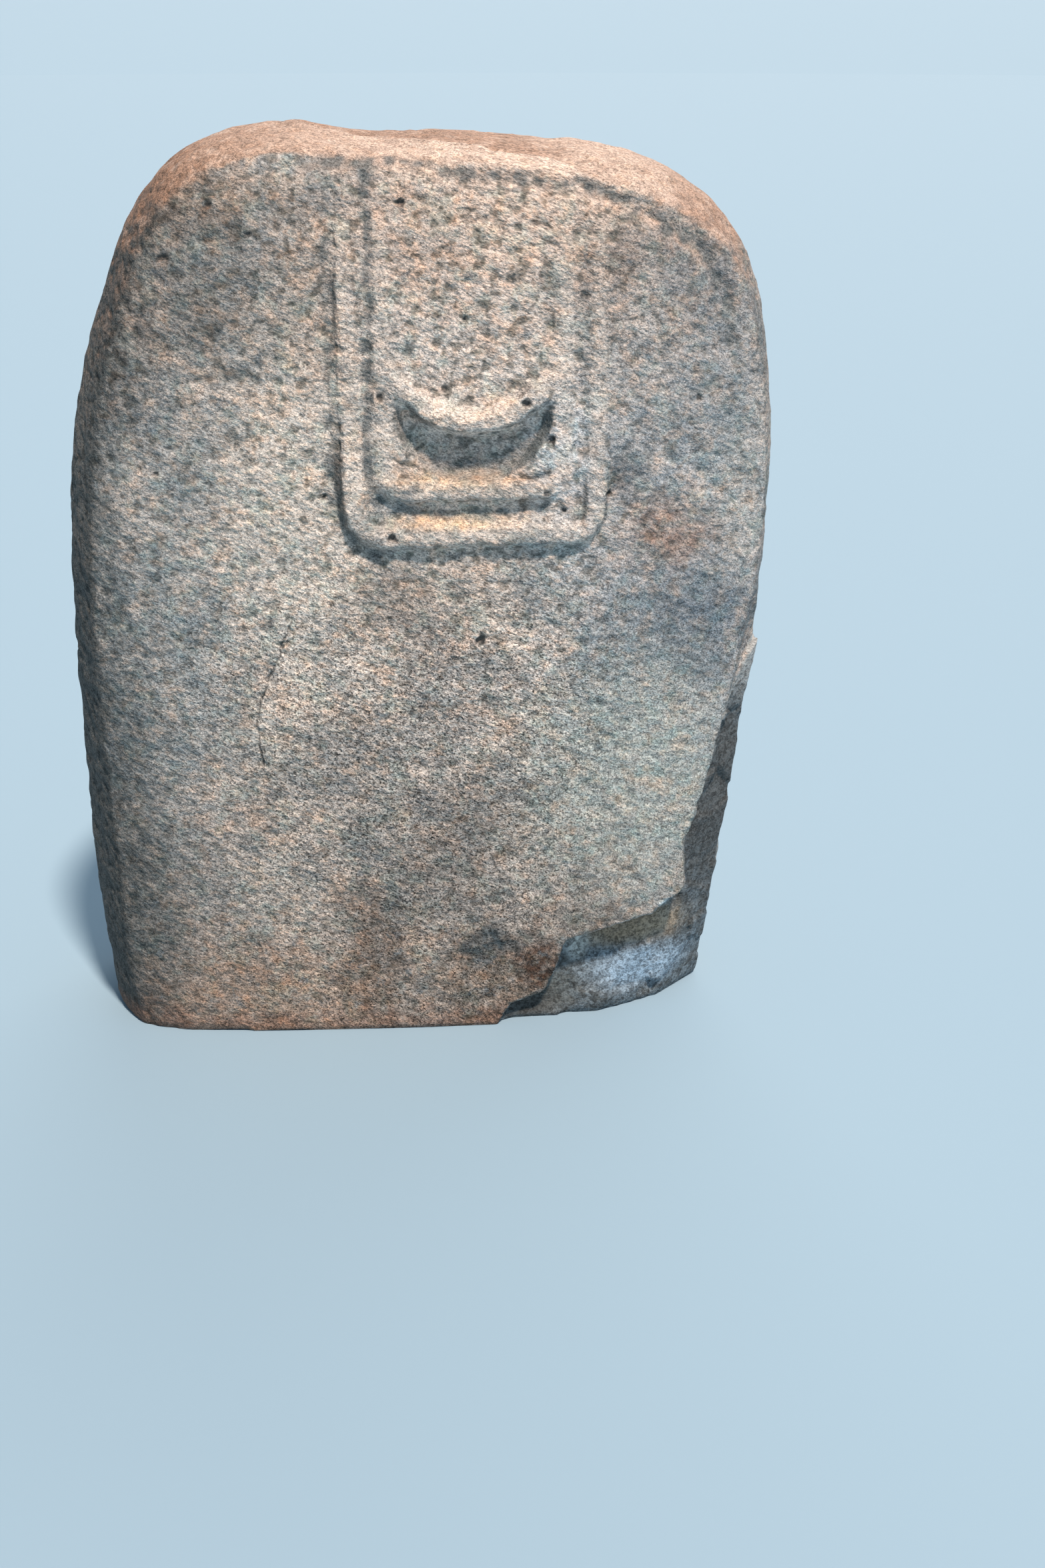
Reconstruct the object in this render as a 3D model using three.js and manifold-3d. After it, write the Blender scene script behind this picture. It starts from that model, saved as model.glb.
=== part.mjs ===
// Statue menhir: one standing slab of granite with a rounded head. The front carries a low carved
// stole of two nested square bands, and a collar ridge that overhangs a hollow. The lower right
// corner has spalled off, and the foot is cut flat.
// Millimetres, +Z up, front towards -Y, origin at the middle of the foot.
import * as THREE from "three";
import { mergeVertices } from "three/addons/utils/BufferGeometryUtils.js";
import Module from "manifold-3d";

const { clamp, degToRad, lerp, smoothstep } = THREE.MathUtils;

// Overall size
const HEIGHT = 1202;
const WIDTH = 942;
const THICKNESS = 316;

// Outline seen from the front, as [x, z]: up the left side, over the head and down the right side
const OUTLINE = [
  [-459, 0], [-470, 210], [-468, 416], [-462, 608], [-447, 788], [-418, 916], [-374, 1038], [-336, 1110],
  [-289, 1163], [-228, 1191], [-146, 1202], [-62, 1193], [70, 1193], [221, 1179], [315, 1152], [394, 1098],
  [435, 1026], [461, 900], [468, 776], [456, 543], [438, 344], [418, 170], [401, 0],
];
// Where along the outline its two shoulders are, as shares of its length
const LEFT_SHOULDER = 0.37;
const RIGHT_SHOULDER = 0.637;

// How far the front and back faces stop short of the outline, which is the stone's widest line
const FRONT_INSET = { leftFoot: 52, leftHead: 38, right: 20, headLeft: 18, headRight: 42 };
const BACK_INSET = { leftFoot: 30, leftHead: 30, right: 30, headLeft: 40, headRight: 40 };

// Faces: the crown of the front and back, and the roll-off along their rims
const FRONT_CROWN = 26;
const BACK_CROWN = 45;
const CROWN_CENTRE_X = -40;
const CROWN_REACH = 400;
const ROLL_OFF = 14;
const ROLL_OFF_REACH = 85;
const RIM_EDGES = 120;

// Unevenness of the dressed front and of the rougher back
const FRONT_SWELL = 3;
const BACK_SWELL = 9;
const SWELL_LENGTH = 95;

// Grid of the slab, with its lines crowded towards the rims
const CELLS = { across: 26, deep: 10, up: 34 };
const CROWDING = 0.7;

// Carved stole: two square bands open at the top, around one centre line
const STOLE_X = 75;
const OUTER_BAND = { halfWidth: 152, foot: 719, width: 32, corner: 34, lift: 11 };
const INNER_BAND = { halfWidth: 111, foot: 777, width: 31, corner: 26, lift: 10 };
const BAND_TOP = 1138;
const BAND_STEPS = 64;
// The legs stand lower than the foot of a band, and sink into the face at the top.
const LEG_LIFT = 0.5;
const LEG_BLEND = { from: 780, to: 900 };
const LEG_FADE = { from: 1040, to: 1130 };
const BAND_SINK = 3;

// Collar ridge, a half ring hung above the inner band, and the hollow that it overhangs
const COLLAR = { z: 966, radius: 105, width: 31, lift: 15, startDeg: 170, endDeg: 368, steps: 30 };
const COLLAR_FADE = { from: 850, to: 985 };
const HOLLOW = { halfWidth: 95, foot: 794, corner: 26, depth: 10 };

// Section of a carved band: its sides slope by this much, and its root goes this far into the stone
const BAND_SLOPE = 7;
const BAND_ROOT = 30;

// Groove that sets the right shoulder off from the front, as [x, z]
const SHOULDER_GROOVE = [[205, 1128], [292, 1098], [345, 1068], [374, 1024], [388, 960]];
const GROOVE_WIDTH = 20;
const GROOVE_DEPTH = 6;
const GROOVE_STEPS = 14;
const GROOVE_ENDS = { lower: [960, 1040], upper: [1100, 1126] };

// Spalled corner: the broken edge on the front, as [x, z, depth behind the face]
const SPALL_EDGE = [
  [88, -20, 8], [116, 33, 18], [166, 46, 28], [195, 130, 34], [316, 161, 44], [362, 200, 46],
  [360, 272, 40], [388, 362, 34], [413, 468, 26], [430, 560, 18], [452, 650, 10],
];
// Corners of the spall beyond the stone's outline, which set how far its floor slopes back
const SPALL_OUTSIDE = [[560, 650, 120], [560, -20, 260], [388, -20, 92], [330, -20, 50], [228, -20, 14]];
// A plane in front of everything, from which the cutters come in
const CUTTER_FRONT = -200;

// Weathered pits, as [x, z, how proud of the face the carving stands there]
const PITS = [
  [-8, 1119, 0], [65, 985, 0], [-40, 894, 6], [138, 884, 17], [168, 838, 10], [-30, 720, 11], [186, 749, 0],
  [243, 768, 4], [-112, 772, 0], [149, 924, 10], [-44, 1106, 0], [78, 578, 0], [-250, 1000, 0], [-196, 1050, 0],
];
const PIT = { radius: 6, depth: 8, sides: 7 };

// Fineness of arcs, and how near two points have to be to count as one
const ARC_SEGMENTS = 6;
const SAME_POINT = 1e-3;

const GRANITE = new THREE.MeshStandardMaterial({ color: 0x9a9083, roughness: 0.92, metalness: 0 });

const wasm = await Module();
wasm.setup();

// Turns a closed geometry into a solid for joining and cutting.
function solidFrom(geometry) {
  const bare = geometry.clone();
  bare.deleteAttribute("normal");
  bare.deleteAttribute("uv");
  const merged = mergeVertices(bare, SAME_POINT);
  return new wasm.Manifold(new wasm.Mesh({
    numProp: 3,
    vertProperties: new Float32Array(merged.getAttribute("position").array),
    triVerts: new Uint32Array(merged.index.array),
  }));
}

function geometryFrom(solid) {
  const { vertProperties, triVerts } = solid.getMesh();
  const geometry = new THREE.BufferGeometry();
  geometry.setAttribute("position", new THREE.BufferAttribute(vertProperties, 3));
  geometry.setIndex(new THREE.BufferAttribute(triVerts, 1));
  geometry.computeVertexNormals();
  return geometry;
}

// Moves every vertex of a geometry to where place(x, y, z) says.
function moveVertices(geometry, place) {
  const position = geometry.getAttribute("position");
  for (let i = 0; i < position.count; i++) {
    position.setXYZ(i, ...place(position.getX(i), position.getY(i), position.getZ(i)));
  }
  return geometry;
}

// Slow waves that stand for the stone's unevenness, from about -1 to 1.
function swell(x, z) {
  const u = x / SWELL_LENGTH;
  const v = z / SWELL_LENGTH;
  return (Math.sin(u + 0.6 * v) + Math.sin(0.7 * u - v + 2) + Math.sin(1.6 * u + 0.4 * v + 4)) / 3;
}

const crown = (x, depth) => depth * ((x - CROWN_CENTRE_X) / CROWN_REACH) ** 2;
const frontFace = (x, z) => -THICKNESS / 2 + crown(x, FRONT_CROWN) + FRONT_SWELL * swell(x, z);
const backFace = (x, z) => THICKNESS / 2 - crown(x, BACK_CROWN) + BACK_SWELL * swell(z, x);

const curveThrough = (points) => new THREE.SplineCurve(points.map(([x, z]) => new THREE.Vector2(x, z)));
const outline = curveThrough(OUTLINE);
const rimPoints = outline.getSpacedPoints(RIM_EDGES).map(({ x, y }) => new THREE.Vector3(x, y, 0));
const rim = rimPoints.slice(1).map((point, i) => new THREE.Line3(rimPoints[i], point));
const leftSide = (up) => outline.getPointAt(up * LEFT_SHOULDER);
const rightSide = (up) => outline.getPointAt(1 - up * (1 - RIGHT_SHOULDER));
const head = (across) => outline.getPointAt(lerp(LEFT_SHOULDER, RIGHT_SHOULDER, across));
const foot = (across) => leftSide(0).lerp(rightSide(0), across);

// Point of the front view at a share of the way across and up: a Coons patch of the four edges.
function outlinePoint(across, up) {
  const acrossSides = leftSide(up).lerp(rightSide(up), across);
  const footToHead = foot(across).lerp(head(across), up);
  const betweenCorners = foot(across).lerp(head(0).lerp(head(1), across), up);
  return acrossSides.add(footToHead).sub(betweenCorners);
}

// How far a face drops back at a point of the front view, by how near that is to the outline.
function rollOff(x, z) {
  const place = new THREE.Vector3(x, z, 0);
  const nearest = new THREE.Vector3();
  const gaps = rim.map((edge) => edge.closestPointToPoint(place, true, nearest).distanceTo(place));
  return ROLL_OFF * Math.max(0, 1 - Math.min(...gaps) / ROLL_OFF_REACH) ** 2;
}

// How far the edge of a face is moved in from the outline, at a point of the front view.
function faceInset(x, z, inset) {
  const share = x / WIDTH + 0.5;
  const left = lerp(inset.leftFoot, inset.leftHead, z / HEIGHT);
  const down = (z * lerp(inset.headLeft, inset.headRight, share)) / HEIGHT;
  return { across: lerp(left, -inset.right, share), down };
}

// Point of the slab's skin: across, deep and up run from 0 to 1 over a block's six faces.
function slabPoint(across, deep, up) {
  const seen = outlinePoint(across, up);
  const inset = faceInset(seen.x, seen.y, deep < 0.5 ? FRONT_INSET : BACK_INSET);
  const toFace = (1 - 2 * deep) ** 2;
  const x = seen.x + toFace * inset.across;
  const z = seen.y - toFace * inset.down;
  const drop = rollOff(seen.x, seen.y);
  return [x, lerp(frontFace(x, z) + drop, backFace(x, z) - drop, deep), z];
}

// Depth of the slab's front where something is carved into it.
function carvedFace(x, z) {
  const inset = faceInset(x, z, FRONT_INSET);
  return frontFace(x, z) + rollOff(x - inset.across, z + inset.down);
}

// Crowd evenly spaced lines of 0 to 1 towards both ends, or towards 1 alone.
const crowdedEnds = (t) => clamp(t - (CROWDING * Math.sin(2 * Math.PI * t)) / (2 * Math.PI), 0, 1);
const crowdedHead = (t) => clamp(t + (CROWDING * Math.sin(Math.PI * t)) / Math.PI, 0, 1);

function slab() {
  const block = new THREE.BoxGeometry(1, 1, 1, CELLS.across, CELLS.deep, CELLS.up);
  return solidFrom(moveVertices(block, (x, y, z) => (
    slabPoint(crowdedEnds(x + 0.5), y + 0.5, crowdedHead(z + 0.5))
  )));
}

// Adds the two rounded lower corners of a square form, from left to right, and the line between them.
function addLowerCorners(line, { halfWidth, foot: z, corner }) {
  const inner = halfWidth - corner;
  line.absarc(STOLE_X - inner, z + corner, corner, Math.PI, 1.5 * Math.PI);
  line.absarc(STOLE_X + inner, z + corner, corner, 1.5 * Math.PI, 2 * Math.PI);
}

// Centre line of a square band: down one leg, round two corners and up the other.
function bandPath(band) {
  const line = new THREE.Path();
  line.moveTo(STOLE_X - band.halfWidth, BAND_TOP);
  line.lineTo(STOLE_X - band.halfWidth, band.foot + band.corner);
  addLowerCorners(line, band);
  line.lineTo(STOLE_X + band.halfWidth, BAND_TOP);
  return line;
}

function collarPath() {
  const ring = new THREE.Path();
  ring.absarc(STOLE_X, COLLAR.z, COLLAR.radius, degToRad(COLLAR.startDeg), degToRad(COLLAR.endDeg));
  return ring;
}

// Sweeps a section, as [outward, across], along a path in the front view.
function sweptAlong(path, steps, section) {
  const points = path.getSpacedPoints(steps).map(({ x, y }) => new THREE.Vector3(x, 0, y));
  const extrudePath = new THREE.CatmullRomCurve3(points);
  const shape = new THREE.Shape(section.map(([outward, across]) => new THREE.Vector2(outward, across)));
  return new THREE.ExtrudeGeometry(shape, { steps, extrudePath });
}

// A raised band: its top stands proud by lift, less what fade(z) takes off.
function raisedBand(path, steps, { width, lift }, fade) {
  const flat = width / 2 - BAND_SLOPE / 2;
  const base = width / 2 + BAND_SLOPE / 2;
  const section = [[-BAND_ROOT, -base], [1, -flat], [1, flat], [-BAND_ROOT, base]];
  const swept = sweptAlong(path, steps, section);
  return solidFrom(moveVertices(swept, (x, y, z) => {
    const level = y < 0 ? BAND_SINK - (lift + BAND_SINK) * fade(z) : BAND_ROOT;
    return [x, carvedFace(x, z) + level, z];
  }));
}

function squareBand(band) {
  return raisedBand(bandPath(band), BAND_STEPS, band, (z) => {
    const leg = lerp(1, LEG_LIFT, smoothstep(z, LEG_BLEND.from, LEG_BLEND.to));
    return leg * (1 - smoothstep(z, LEG_FADE.from, LEG_FADE.to));
  });
}

function collar() {
  const fade = (z) => 1 - smoothstep(z, COLLAR_FADE.from, COLLAR_FADE.to);
  return raisedBand(collarPath(), COLLAR.steps, COLLAR, fade);
}

// The hollow between the collar and the inner band, as a cutter that comes in from the front.
function hollowCutter() {
  const shape = new THREE.Shape();
  addLowerCorners(shape, HOLLOW);
  const rimAngle = Math.acos(HOLLOW.halfWidth / COLLAR.radius);
  shape.absarc(STOLE_X, COLLAR.z, COLLAR.radius, -rimAngle, rimAngle - Math.PI, true);
  return faceCutter(shape, () => HOLLOW.depth);
}

// Cuts a front-view shape into the stone down to depthAt(x, z) behind the face.
function faceCutter(shape, depthAt) {
  const block = new THREE.ExtrudeGeometry(shape, { depth: 1, bevelEnabled: false, curveSegments: ARC_SEGMENTS });
  block.rotateX(Math.PI / 2);
  return solidFrom(moveVertices(block, (x, y, z) => (
    [x, y > -0.5 ? carvedFace(x, z) + depthAt(x, z) : CUTTER_FRONT, z]
  )));
}

function spallCutter() {
  const corners = [...SPALL_EDGE, ...SPALL_OUTSIDE];
  const shape = new THREE.Shape(corners.map(([x, z]) => new THREE.Vector2(x, z)));
  const nearTo = (x, z) => corners.find((corner) => Math.hypot(corner[0] - x, corner[1] - z) < 1);
  return faceCutter(shape, (x, z) => nearTo(x, z)[2]);
}

function shoulderGroove() {
  const path = curveThrough(SHOULDER_GROOVE);
  const section = [[1, -GROOVE_WIDTH / 2], [1, GROOVE_WIDTH / 2], [-GROOVE_DEPTH, 0]];
  const swept = sweptAlong(path, GROOVE_STEPS, section);
  const { lower, upper } = GROOVE_ENDS;
  const depthAt = (z) => smoothstep(z, ...lower) * (1 - smoothstep(z, ...upper));
  return solidFrom(moveVertices(swept, (x, y, z) => (
    [x, carvedFace(x, z) + (y > 0 ? y * depthAt(z) : -GROOVE_DEPTH), z]
  )));
}

function pitCutter([x, z, proud]) {
  const cone = new THREE.ConeGeometry(PIT.radius, PIT.depth * 2, PIT.sides);
  cone.translate(x, carvedFace(x, z) - proud, z);
  return solidFrom(cone);
}

function statueMenhir() {
  let solid = slab().subtract(hollowCutter());
  for (const raised of [squareBand(OUTER_BAND), squareBand(INNER_BAND), collar()]) {
    solid = solid.add(raised);
  }
  for (const cutter of [spallCutter(), shoulderGroove(), ...PITS.map(pitCutter)]) {
    solid = solid.subtract(cutter);
  }
  const geometry = geometryFrom(solid);
  geometry.computeBoundingBox();
  const middle = geometry.boundingBox.getCenter(new THREE.Vector3());
  const stone = new THREE.Mesh(geometry.translate(-middle.x, -middle.y, 0), GRANITE);
  stone.name = "stone";
  return stone;
}

const menhir = new THREE.Group();
menhir.add(statueMenhir());

export default menhir;
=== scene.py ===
"""Looks of a statue menhir: a weathered granite slab with a carved stole and a broken lower corner."""

import math

import bmesh
import bpy
import numpy as np
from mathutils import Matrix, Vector, noise
from mathutils.bvhtree import BVHTree
from mathutils.kdtree import KDTree


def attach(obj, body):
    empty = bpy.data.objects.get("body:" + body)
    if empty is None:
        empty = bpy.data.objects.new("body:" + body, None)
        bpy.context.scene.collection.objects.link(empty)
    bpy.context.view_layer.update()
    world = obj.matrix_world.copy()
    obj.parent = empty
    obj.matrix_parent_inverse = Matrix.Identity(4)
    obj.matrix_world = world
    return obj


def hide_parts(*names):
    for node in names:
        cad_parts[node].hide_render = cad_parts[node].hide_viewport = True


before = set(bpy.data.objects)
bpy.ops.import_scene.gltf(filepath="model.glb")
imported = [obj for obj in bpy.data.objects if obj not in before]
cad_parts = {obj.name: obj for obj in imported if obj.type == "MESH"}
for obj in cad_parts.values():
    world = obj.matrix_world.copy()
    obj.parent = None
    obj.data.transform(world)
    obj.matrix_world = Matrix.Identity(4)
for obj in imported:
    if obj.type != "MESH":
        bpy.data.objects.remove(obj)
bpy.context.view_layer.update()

# The scene and its materials are in metres, and the tables of shapes in millimetres
MM = 0.001

# Which of x, y and z are seen from the front and from above
FRONT_VIEW = [0, 2]
PLAN_VIEW = [0, 1]

# Gaps that count as none, between vertices and above the ground
WELD_GAP = 0.001 * MM
GROUND_GAP = 0.4 * MM

# Fineness of the stone's skin: size of its plain quads, and where they are halved
COARSE_MESH = 9.8 * MM
FRONT_FACING = -0.28
FINE_REACH = {"pit": 9 * MM, "crack": 5 * MM, "edge": 7 * MM, "ledge": 10 * MM}
LEDGE_ROUNDS = 2
HEAD_FROM = 1100 * MM

# Smoothing of the skin: rounds for all of it, and more rounds away from the solid's sharp edges
RELAX_SHARE = 0.5
RELAX_ALL = 2
RELAX_PLAIN = 45
SHARP_DEG = 16.0
SHARP_STEP = 4 * MM
SHARP_REACH = (30 * MM, 9 * MM)
SHARP_KEPT = {"carving": 1.0, "rim": 0.94, "left_column": 0.28, "right_column": 0.7, "left_shoulder": 0.6}

# Worn edges: spans of distance from the stole's middle, of x and of z over which the wear sets in
COLUMN_SPAN = {"inner": (95, 105), "outer": (200, 190)}
COLUMN_FOOT = {"left": (760, 860), "right": (750, 780)}
RIM_FROM = {"side": (300, 340), "top": (1120, 1140)}
SHOULDER_FROM = {"side": (-220, -300), "height": (700, 850)}

# Broken edge of the spalled corner, as [x, z] from the foot up, and how softly the break sets in
BROKEN_EDGE = [
    (89, -20), (117, 33), (167, 46), (196, 130), (317, 161), (363, 200),
    (361, 272), (389, 362), (418, 468), (446, 545), (472, 620),
]
BREAK_FACING = (-0.06, -0.18)
BREAK_SOFTNESS = 1.5 * MM

# Chipped left corner of the foot, as two points [x, z] of its sloping cut
FOOT_CHIP = [(-439, 0), (-460, 22)]

# Worn grooves: line of [x, z], depth, half width and share of grime and painted shade; the painted shade stands
# for shadows below the shoulder, beside the stole's left corner and between the bands
WORN_GROOVES = {
    "brow": ([(-120, 1160), (-84, 1164), (-39, 1162), (11, 1157), (58, 1149), (121, 1143),
              (159, 1137), (198, 1131), (238, 1122)], 3.2, 8.0, 0.72),
    # The shoulder groove is darkened with painted shade below its ledge
    "shoulder": ([(200, 1134), (239, 1124), (298, 1096), (350, 1064), (386, 1004),
                  (394, 950)], 6.0, 10.0, 0.75),
    "stole_left_outer": ([(-96, 1150), (-100, 970), (-103, 850), (-102, 780)], 2.4, 8.5, 0.5),
    # The stole's left corner and the gap between the bands are darkened with painted shadow of the bands
    "stole_left_corner": ([(-104, 795), (-98, 757), (-88, 727), (-70, 705), (-50, 697)], 4.5, 11.0, 0.62),
    "between_bands": ([(-56, 790), (-50, 768), (-28, 756), (15, 748), (60, 746), (120, 750),
                       (175, 753)], 1.5, 9.0, 0.5),
    "stole_left_inner": ([(-48, 1150), (-51, 1010), (-55, 890), (-57, 800)], 4.0, 7.0, 0.75),
    "stole_right_inner": ([(160, 1090), (162, 1000), (166, 930)], 1.5, 11.0, 0.25),
    "stole_right_outer": ([(209, 1090), (212, 960), (216, 840)], 1.5, 12.0, 0.25),
}
GROOVE_MEAN = 0.85
GROOVE_DARKEST = 1.5

# Middle of the stole, and height of the middle of its collar's curve
STOLE_X = 76
COLLAR_Z = 966

# Worn tops of the bands, as distance from the stole's middle and height of the foot, and of the collar
BAND_RIDGES = {"outer": (152, 719), "inner": (111, 777)}
COLLAR_RIDGE = 105
RIDGE_WEAR = {"across": (14, 6), "collar": (976, 926), "bands": (1130, 1000)}

# Hollow under the collar: spans over which its rim sets in, and the round bowl that stays open in it
HOLLOW_RIM = {"side": (105, 99), "foot": (783, 788), "collar": (120, 125), "top": (960, 910)}
HOLLOW_BOWL = {"middle": (74, 880), "half_width": 96, "depth": 91}
BOWL_FILL = (0.15, -0.08)

# Right end of the gap between the bands, and the level of the face that it is filled to
GAP_END = {"left": (150, 175), "right": (212, 200), "foot": (714, 724), "top": (800, 785)}
GAP_FILL = 0.8
FACE_LEVEL = {"at_stole": -154.5, "slope": 0.03}

# Painted shade with some grime in the hollow, carrying the collar's shadow down to the bowl's foot: shares on
# its floor and slope, and spans of z, x and depth in the bowl where it sets in
HOLLOW_SHADE_AND_GRIME = {"floor": 0.32, "lowest": 0.12, "slope": 0.42, "slope_right": 0.23}
SHADE_AND_GRIME_HEIGHT = {"floor": (876, 829), "lowest": (824, 806), "slope": (905, 860)}
SHADE_AND_GRIME_RIGHT = (100, 140)
SHADE_AND_GRIME_BOWL = {"floor": (-0.06, 0.10), "slope_outer": (-0.12, -0.04), "slope_inner": (0.22, 0.12)}

# Front edge of the head's top, as [x, y] in plan, and the step down behind it
HEAD_LEDGE = [(-140, -10), (-62, -60), (25, -80), (103, -99), (159, -105), (200, -118)]
HEAD_STEP = {"across": (2.5, -2.5), "left": (-120, -50), "right": (210, 160), "height": (1120, 1150)}
HEAD_DROP = 4.5 * MM

# Cracks in the face: line of [x, z] and depth
CRACKS = {
    "band": ([(-83, 1135), (-88, 1022), (-84, 952), (-85, 894), (-87, 783)], 0.55),
    "face": ([(-160, 614), (-172, 584), (-186, 549), (-207, 500), (-213, 466), (-212, 440),
              (-208, 400)], 1.6),
    "short": ([(-142, 462), (-150, 427), (-156, 388), (-155, 359)], 0.6),
}
CRACK_WIDTH = 1.1 * MM
CRACK_OPEN = (-0.45, 0.15)
CRACK_CLOSED_DEPTH = 0.6
DARKEST_CUT = 1.8 * MM

# Weathered pits, as [x, z, radius, depth], and the span of the radius that their walls take up
PITS = [
    (-7, 1119, 5, 5), (66, 985, 4, 4), (-39, 894, 5, 5), (139, 884, 6, 6), (169, 838, 5, 5), (-29, 720, 5, 5),
    (187, 749, 4, 4), (244, 768, 4, 4), (-111, 772, 4, 4), (79, 578, 6, 7),
    (-230, 1116, 4, 3), (-289, 1057, 5, 3), (-184, 1085, 4, 3), (-318, 799, 4, 3), (40, 902, 5, 3),
    (166, 772, 4, 3), (355, 884, 4, 3),
]
PIT_WALL = (1.2, 0.3)

# Unevenness of the skin and of its cuts: wave length, height or share, and seed of each layer
WANDER_SIDEWAYS = (38 * MM, 2.6 * MM, 1)
WANDER_UPWARD = (38 * MM, 2.6 * MM, 3)
SWELLS = (150 * MM, 2.0 * MM, 4)
LUMPS = (30 * MM, 1.9 * MM, 5)
RIPPLES = (17 * MM, 1.4 * MM, 6)
PECKS = (8.5 * MM, 1.7 * MM, 7)
BREAK_FACETS = (60 * MM, 5.0 * MM, 8)
BREAK_GRAIN = (11 * MM, 0.9 * MM, 9)
CRACK_CLOSING = (55 * MM, 1.0, 10)
CRACK_UNEVEN = (6 * MM, 0.6, 11)
CRACK_BENDS = (15 * MM, 3.0 * MM, 12)
CRACK_JITTER = (5 * MM, 1.5 * MM, 16)
PIT_RAGGED = (7 * MM, 0.7, 13)
GROOVE_UNEVEN = (26 * MM, 0.4, 14)
GROOVE_WANDER = (45 * MM, 5 * MM, 15)
GROOVE_MOTTLE = (12 * MM, 1.1, 17)
SEED_STEP = 17.3

# How the layers lie: slanting dashes, dents, a rougher back, cuts in the front, a flat foot and tilted chips
PECK_STRETCH = 1.5
PECK_SLANT = math.radians(-25.0)
DENT_SPAN = (0.05, 0.5)
BACK_ROUGHER = 1.7
BACK_SPAN = (0.0, 0.6)
FRONT_SPAN = (-0.1, -0.4)
FOOT_FLAT = 18 * MM
CHIP_SPREAD = 7.1
CHIP_LIFT = 0.4

# Which faces belong to the break and to the foot
BREAK_SHARE = 0.5
FOOT_FACING = -0.9
FOOT_LEVEL = 1 * MM

# Lights: the key comes from above, in front and a little to the right, and a soft one from behind
KEY = {"strength": 5.2, "colour": (1.0, 0.845, 0.73), "from": (0.18, -0.42, 0.93), "spread_deg": 5.0}
BACK_LIGHT = {"strength": 2.1, "colour": (1.0, 0.9, 0.8), "from": (0.35, 1.0, 0.36), "spread_deg": 70.0}

# Sky, with the span from left to right over which it brightens, and the backdrop that the camera sees
SKY = {"strength": 1.0, "left_share": 0.4, "span": (-0.8, 0.2), "colour": (0.36, 0.50, 0.64)}
BACKDROP_COLOUR = (0.52, 0.67, 0.775)

# Floor: a flat disc, and a far rim that rises
FLOOR = {"radius": 40.0, "rim_radius": 400.0, "rim_height": 16.0, "sides": 96, "below": 0.5 * MM}
FLOOR_COLOUR = (0.24, 0.345, 0.425)
FLOOR_ROUGHNESS = 0.9

CAMERA = {"at": (0.0155, -2.278, 1.324), "down_deg": 24.0, "turn_deg": -3.2, "lens": 40.0}


def line_distance(points, line, view=FRONT_VIEW):
    """Signed distance in a view from points to a line in millimetres, positive on the line's right."""
    flat = points[:, view]
    knots = np.array(line) * MM
    nearest = np.full(len(flat), np.inf)
    side = np.ones(len(flat))
    for start, end in zip(knots[:-1], knots[1:]):
        along = end - start
        share = np.clip((flat - start) @ along / (along @ along), 0, 1)
        gap = flat - (start + share[:, None] * along)
        distance = np.hypot(*gap.T)
        closer = distance < nearest
        nearest[closer] = distance[closer]
        cross = along[1] * gap[:, 0] - along[0] * gap[:, 1]
        side[closer] = np.where(cross[closer] < 0, -1, 1)
    return nearest * side


def point_distance(points, x, z):
    """Distance in the front view from points to a place in millimetres."""
    return np.hypot(*(points[:, FRONT_VIEW] - np.array((x, z)) * MM).T)


def pit_distance(points):
    return np.min([point_distance(points, x, z) for x, z, _, _ in PITS], axis=0)


def crack_distance(points):
    return np.min([np.abs(line_distance(points, line)) for line, _ in CRACKS.values()], axis=0)


def fade(values, low, high):
    """0 below low, 1 above high and smooth between; low may be the larger one."""
    share = np.clip((values - low) / (high - low), 0, 1)
    return share * share * (3 - 2 * share)


def waves(points, seed):
    """Soft noise from about -1 to 1 at points already scaled to its wave length."""
    return np.array([noise.noise(Vector(p)) for p in points + seed * SEED_STEP])


def uneven(points, layer):
    """Soft noise with the wave length, height and seed of a layer."""
    length, height, seed = layer
    return waves(points / length, seed) * height


def facets(points, layer):
    """Flat tilted chips as broken stone shows, with the size, height and seed of a layer."""
    length, height, seed = layer
    heights = []
    for p in points / length + seed * SEED_STEP:
        centre = noise.voronoi(Vector(p))[1][0]
        tilt = noise.cell_vector(centre * CHIP_SPREAD) * 2 - Vector((1, 1, 1))
        heights.append((Vector(p) - centre).dot(tilt) + CHIP_LIFT * tilt.z)
    return np.array(heights) * height


def even_mesh(solid):
    """A closed copy of the solid in even quads."""
    mesh = solid.data.copy()
    welded = bmesh.new()
    welded.from_mesh(mesh)
    bmesh.ops.remove_doubles(welded, verts=welded.verts, dist=WELD_GAP)
    welded.to_mesh(mesh)
    welded.free()
    copy = bpy.data.objects.new("even_copy", mesh)
    bpy.context.scene.collection.objects.link(copy)
    remesh = copy.modifiers.new("even", "REMESH")
    remesh.mode = "VOXEL"
    remesh.voxel_size = COARSE_MESH
    depsgraph = bpy.context.evaluated_depsgraph_get()
    even = bpy.data.meshes.new_from_object(copy.evaluated_get(depsgraph))
    bpy.data.objects.remove(copy)
    return even


def refine(work, wanted):
    """Halves the edges of the wanted faces."""
    edges = {edge for face, keep in zip(work.faces, wanted) if keep for edge in face.edges}
    bmesh.ops.subdivide_edges(work, edges=list(edges), cuts=1, use_grid_fill=True, use_single_edge=True)


def face_centres(work):
    return np.array([face.calc_center_median() for face in work.faces])


def face_normals(work):
    work.normal_update()
    return np.array([face.normal for face in work.faces])


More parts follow.
